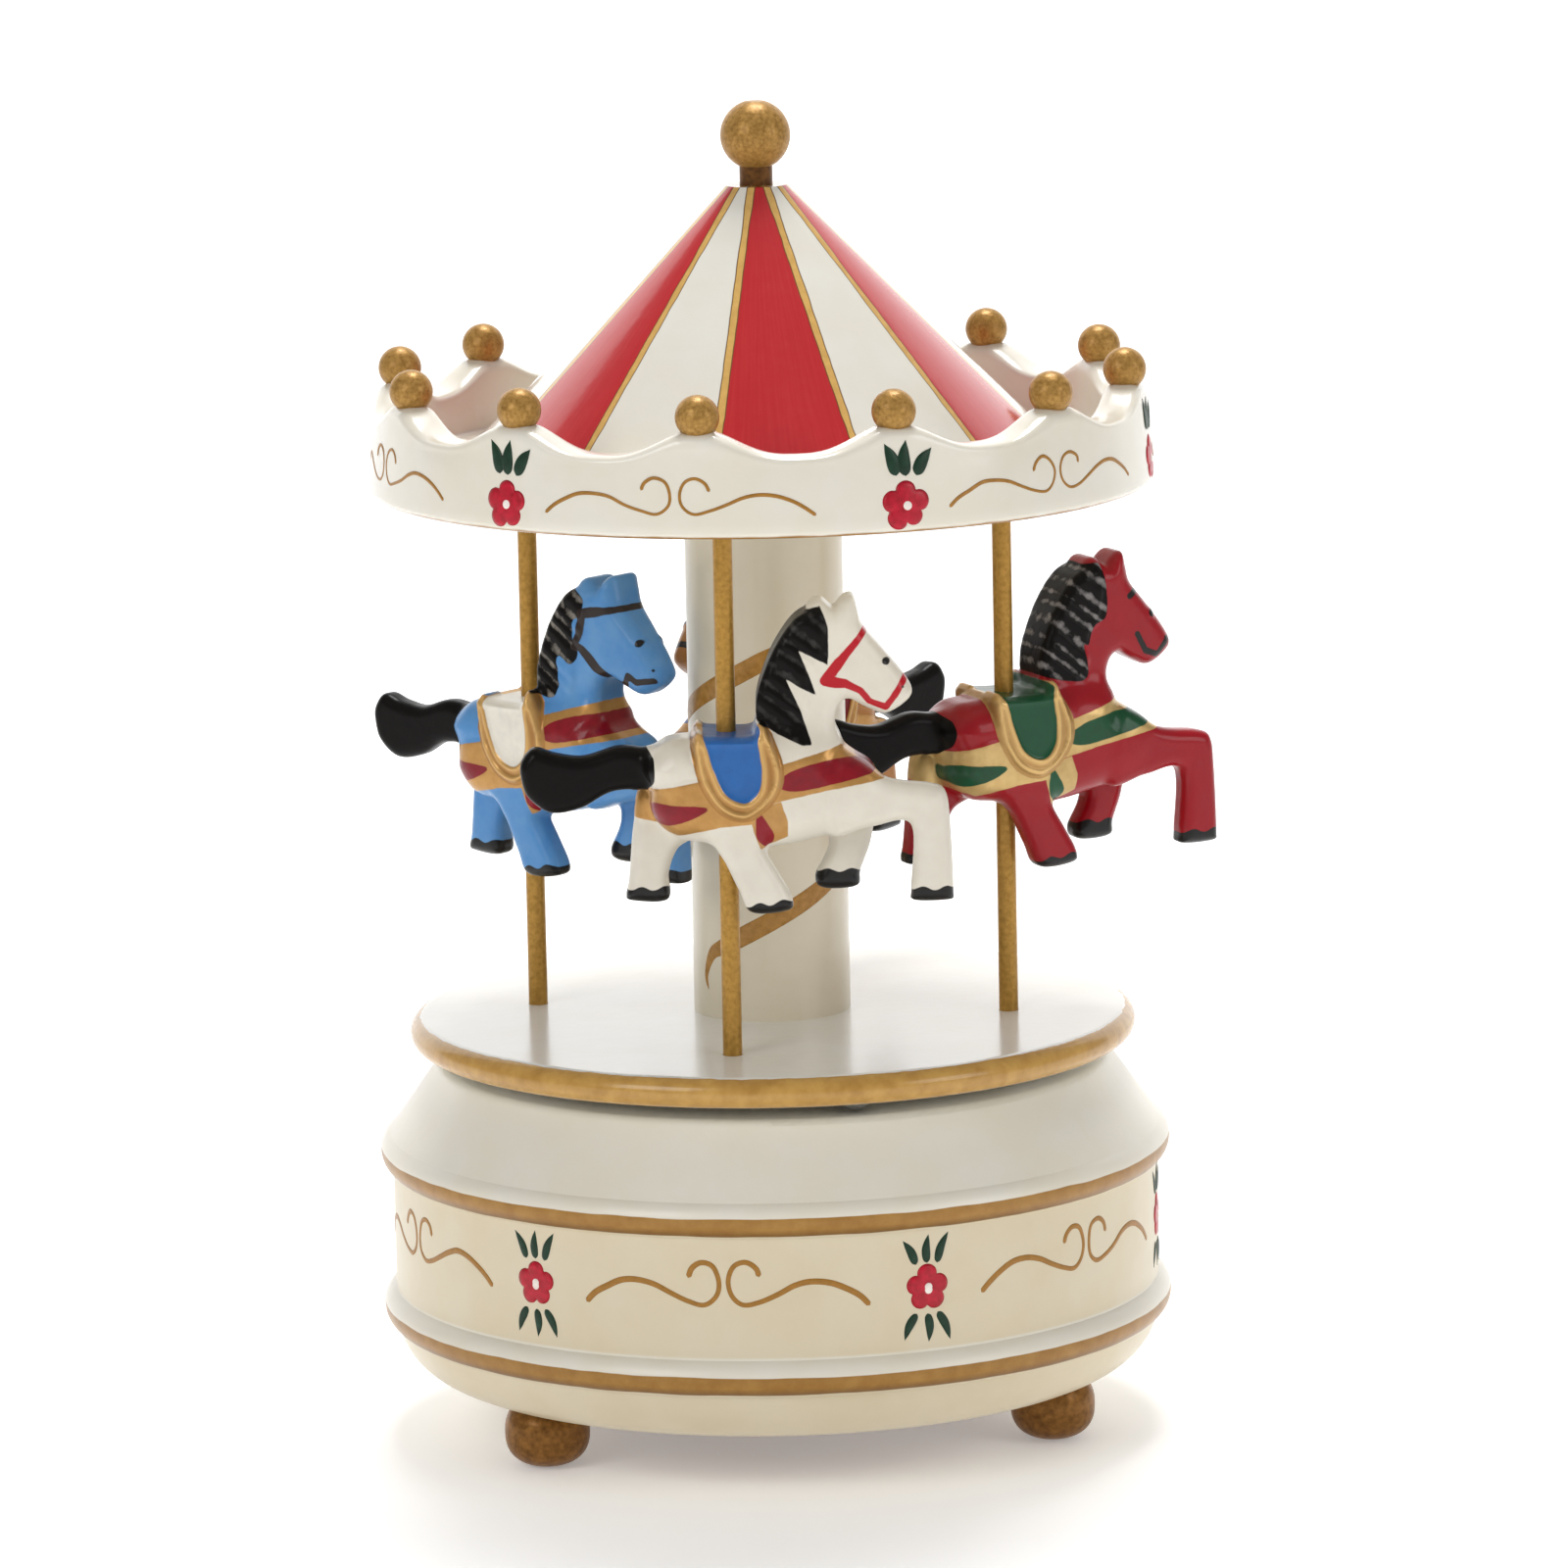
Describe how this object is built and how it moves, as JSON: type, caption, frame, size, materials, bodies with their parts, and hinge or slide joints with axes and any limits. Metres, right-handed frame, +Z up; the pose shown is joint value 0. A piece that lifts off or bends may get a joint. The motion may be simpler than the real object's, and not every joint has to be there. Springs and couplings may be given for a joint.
{
  "type": "carousel music box",
  "caption": "Turned wooden music box on ball feet with a wound movement that turns a column, canopy and swivelling horses.",
  "frame": {"origin": "on the table under the middle of the base, in the plane of the three feet's soles, on the axis that the carousel turns about", "axes": "+Z up along the axis of rotation; -Y is the front that the white horse is on"},
  "size_m": [0.1121, 0.104, 0.1749],
  "materials": {
    "cream_wood": "gloss-painted turned wood, cream white with gold bands",
    "white_lacquer": "gloss white lacquer on wood with a gold edge",
    "hardboard": "bare hardboard",
    "roof_paint": "gloss-painted turned wood, red and cream segments with gold lines",
    "foot_wood": "dark gold-brown painted turned wood",
    "gold_wood": "gold-painted turned wood",
    "steel": "bright turned steel",
    "zinc_casting": "plain die casting",
    "spring_steel": "ground spring steel",
    "brass": "bright brass",
    "gold_pole": "gold-brown lacquered dowel",
    "horse_white": "hand-painted gloss resin, white",
    "horse_red": "hand-painted gloss resin, deep red",
    "horse_tan": "hand-painted gloss resin, tan",
    "horse_blue": "hand-painted gloss resin, sky blue"
  },
  "bodies": {
    "base": {"base_shell": "cream_wood", "base_cover": "hardboard", "cover_screw_1": "steel", "cover_screw_2": "steel", "cover_screw_3": "steel", "foot_1": "foot_wood", "foot_2": "foot_wood", "foot_3": "foot_wood", "bedplate": "zinc_casting", "movement_screw_1": "steel", "movement_screw_2": "steel", "spring_barrel": "brass", "mainspring": "spring_steel", "comb": "spring_steel", "comb_screw_1": "steel", "comb_screw_2": "steel", "governor_frame": "zinc_casting"},
    "carousel": {"winding_arbor": "steel", "great_wheel": "brass", "drive_flange": "steel", "flange_screw_1": "steel", "flange_screw_2": "steel", "flange_screw_3": "steel", "glide_1": "steel", "glide_2": "steel", "glide_3": "steel", "platform": "white_lacquer", "column": "cream_wood", "canopy": "cream_wood", "cone_roof": "roof_paint", "crown_bead_1": "gold_wood", "crown_bead_2": "gold_wood", "crown_bead_3": "gold_wood", "crown_bead_4": "gold_wood", "crown_bead_5": "gold_wood", "crown_bead_6": "gold_wood", "crown_bead_7": "gold_wood", "crown_bead_8": "gold_wood", "crown_bead_9": "gold_wood", "crown_bead_10": "gold_wood", "crown_bead_11": "gold_wood", "crown_bead_12": "gold_wood", "finial_neck": "foot_wood", "finial_ball": "gold_wood"},
    "cylinder": {"cylinder_drum": "brass", "cylinder_shaft": "steel", "cylinder_wheel": "brass"},
    "governor": {"governor_shaft": "steel", "governor_wheel": "brass"},
    "fan": {"fan_shaft": "steel", "fan_vane": "brass"},
    "white_rider": {"pole_white": "gold_pole", "horse_white": "horse_white"},
    "red_rider": {"pole_red": "gold_pole", "horse_red": "horse_red"},
    "tan_rider": {"pole_tan": "gold_pole", "horse_tan": "horse_tan"},
    "blue_rider": {"pole_blue": "gold_pole", "horse_blue": "horse_blue"}
  },
  "joints": [
    {"name": "carousel_spin", "type": "hinge", "parent": "base", "child": "carousel", "pos_m": [0, 0, 0.0494], "axis": [0, 0, 1], "continuous": true},
    {"name": "cylinder_spin", "type": "hinge", "parent": "base", "child": "cylinder", "pos_m": [0.017, 0, 0.02665], "axis": [1, 0, 0], "continuous": true},
    {"name": "governor_spin", "type": "hinge", "parent": "base", "child": "governor", "pos_m": [0.021, -0.0075, 0.02665], "axis": [1, 0, 0], "continuous": true},
    {"name": "fan_spin", "type": "hinge", "parent": "base", "child": "fan", "pos_m": [0.0091, -0.0127, 0.02665], "axis": [0, 0, 1], "continuous": true},
    {"name": "white_swivel", "type": "hinge", "parent": "carousel", "child": "white_rider", "pos_m": [-0.00518, -0.03097, 0.0553], "axis": [0, 0, 1], "range_deg": [-28, 22]},
    {"name": "red_swivel", "type": "hinge", "parent": "carousel", "child": "red_rider", "pos_m": [0.03097, -0.00518, 0.0553], "axis": [0, 0, 1], "range_deg": [-6, 116]},
    {"name": "tan_swivel", "type": "hinge", "parent": "carousel", "child": "tan_rider", "pos_m": [0.00518, 0.03097, 0.0553], "axis": [0, 0, 1], "range_deg": [-115.5, 4.5]},
    {"name": "blue_swivel", "type": "hinge", "parent": "carousel", "child": "blue_rider", "pos_m": [-0.03097, 0.00518, 0.0553], "axis": [0, 0, 1], "range_deg": [-63, 2]}
  ],
  "couplings": [
    {"joint": "cylinder_spin", "follows": "carousel_spin", "ratio": -3},
    {"joint": "governor_spin", "follows": "carousel_spin", "ratio": 12},
    {"joint": "fan_spin", "follows": "carousel_spin", "ratio": 180}
  ]
}
